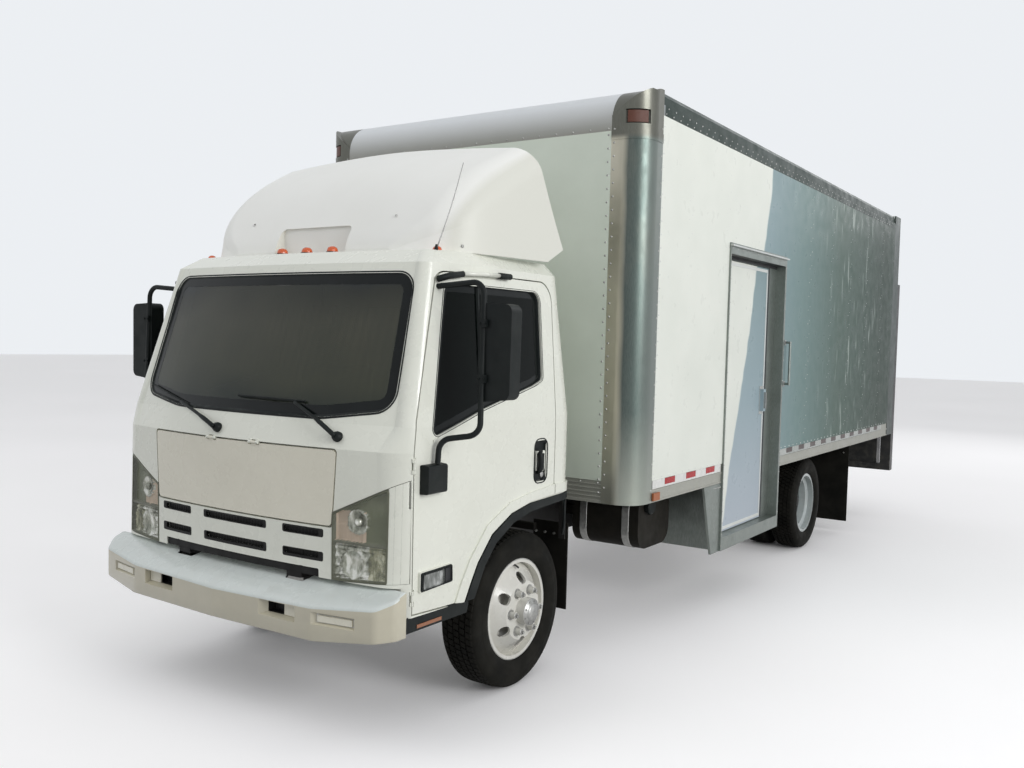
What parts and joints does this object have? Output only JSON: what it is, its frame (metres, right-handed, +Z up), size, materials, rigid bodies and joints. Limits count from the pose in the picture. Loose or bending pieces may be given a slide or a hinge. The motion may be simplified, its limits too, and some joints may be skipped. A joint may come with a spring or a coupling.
{
  "type": "box truck",
  "caption": "Cab-over box truck with tilting cab, roof fairing, stepped side entry door, twin rear wheels and a stowed lift gate.",
  "frame": {"origin": "on the ground, at the middle of the truck's overall length and width", "axes": "-Y forward, +X to the truck's left, +Z up"},
  "size_m": [2.6434, 8.34, 3.2249],
  "materials": {
    "frame_black": "satin black chassis paint",
    "spring_steel": "black painted spring steel",
    "cast_metal": "cast grey",
    "tank_metal": "dull brown-black paint",
    "exhaust_metal": "heat-dulled steel",
    "bumper_white": "gloss white",
    "floor_steel": "black coated steel",
    "panel_white": "satin white panel",
    "front_panel": "pale grey panel",
    "post_aluminium": "mill aluminium",
    "roof_aluminium": "mill aluminium",
    "rear_steel": "grey paint",
    "entry_aluminium": "mill aluminium",
    "door_white": "satin white",
    "gate_black": "black paint",
    "flap_rubber": "matt",
    "lamp_amber": "amber lens",
    "cab_white": "gloss white",
    "lamp_clear": "clear lens over reflector",
    "glass": "tinted glass",
    "seat_fabric": "woven",
    "dash_plastic": "grained",
    "mirror_plastic": "moulded black",
    "wheel_white": "gloss white",
    "trim_black": "moulded black",
    "tyre": "rubber"
  },
  "bodies": {
    "chassis": {"chassis_frame": "frame_black", "front_axle_beam": "frame_black", "leaf_springs": "spring_steel", "drive_axle": "frame_black", "powertrain": "cast_metal", "fuel_tank": "tank_metal", "exhaust": "exhaust_metal", "front_bumper": "bumper_white", "box_floor": "floor_steel", "box_side_walls": "panel_white", "box_front_wall": "front_panel", "corner_posts": "post_aluminium", "box_rails": "post_aluminium", "box_roof": "roof_aluminium", "rear_frame": "rear_steel", "roll_up_door": "panel_white", "entry_frame": "entry_aluminium", "lift_gate": "gate_black", "mud_flaps": "flap_rubber", "body_lamps": "lamp_amber"},
    "cab": {"cab_shell": "cab_white", "cab_lamps": "lamp_clear", "cab_glass": "glass", "roof_fairing": "cab_white", "cab_trim": "trim_black", "seats": "seat_fabric", "dashboard": "dash_plastic"},
    "front_lid": {"front_lid": "cab_white"},
    "cab_door_left": {"cab_door_left": "cab_white", "door_glass_left": "glass", "mirror_left": "mirror_plastic"},
    "cab_door_right": {"cab_door_right": "cab_white", "door_glass_right": "glass", "mirror_right": "mirror_plastic"},
    "side_door": {"side_door": "door_white"},
    "knuckle_left": {"knuckle_left": "frame_black"},
    "knuckle_right": {"knuckle_right": "frame_black"},
    "front_wheel_left": {"front_rim_left": "wheel_white", "front_tyre_left": "tyre"},
    "front_wheel_right": {"front_rim_right": "wheel_white", "front_tyre_right": "tyre"},
    "rear_wheels_left": {"rear_rims_left": "wheel_white", "rear_tyres_left": "tyre"},
    "rear_wheels_right": {"rear_rims_right": "wheel_white", "rear_tyres_right": "tyre"}
  },
  "joints": [
    {"name": "cab_tilt", "type": "hinge", "parent": "chassis", "child": "cab", "pos_m": [0, -4.002, 0.7], "axis": [1, 0, 0], "range_deg": [0, 45]},
    {"name": "front_lid_lift", "type": "hinge", "parent": "cab", "child": "front_lid", "pos_m": [0, -4.063, 1.286], "axis": [-1, 0, 0], "range_deg": [0, 55]},
    {"name": "cab_door_left_swing", "type": "hinge", "parent": "cab", "child": "cab_door_left", "pos_m": [0.984, -3.901, 1], "axis": [0, 0, -1], "range_deg": [0, 75]},
    {"name": "cab_door_right_swing", "type": "hinge", "parent": "cab", "child": "cab_door_right", "pos_m": [-0.984, -3.901, 1], "axis": [0, 0, 1], "range_deg": [0, 75]},
    {"name": "side_door_swing", "type": "hinge", "parent": "chassis", "child": "side_door", "pos_m": [1.1685, -0.946, 1.4], "axis": [0, 0, -1], "range_deg": [0, 90]},
    {"name": "steer_left", "type": "hinge", "parent": "chassis", "child": "knuckle_left", "pos_m": [0.7, -2.98, 0.402], "axis": [0, 0, 1], "range_deg": [-38, 38]},
    {"name": "steer_right", "type": "hinge", "parent": "chassis", "child": "knuckle_right", "pos_m": [-0.7, -2.98, 0.402], "axis": [0, 0, 1], "range_deg": [-38, 38]},
    {"name": "front_spin_left", "type": "hinge", "parent": "knuckle_left", "child": "front_wheel_left", "pos_m": [0.8325, -2.98, 0.402], "axis": [1, 0, 0], "continuous": true},
    {"name": "front_spin_right", "type": "hinge", "parent": "knuckle_right", "child": "front_wheel_right", "pos_m": [-0.8325, -2.98, 0.402], "axis": [1, 0, 0], "continuous": true},
    {"name": "rear_spin_left", "type": "hinge", "parent": "chassis", "child": "rear_wheels_left", "pos_m": [0.825, 1.49, 0.402], "axis": [1, 0, 0], "continuous": true},
    {"name": "rear_spin_right", "type": "hinge", "parent": "chassis", "child": "rear_wheels_right", "pos_m": [-0.825, 1.49, 0.402], "axis": [1, 0, 0], "continuous": true}
  ],
  "couplings": [
    {"joint": "steer_right", "follows": "steer_left", "ratio": 1}
  ]
}
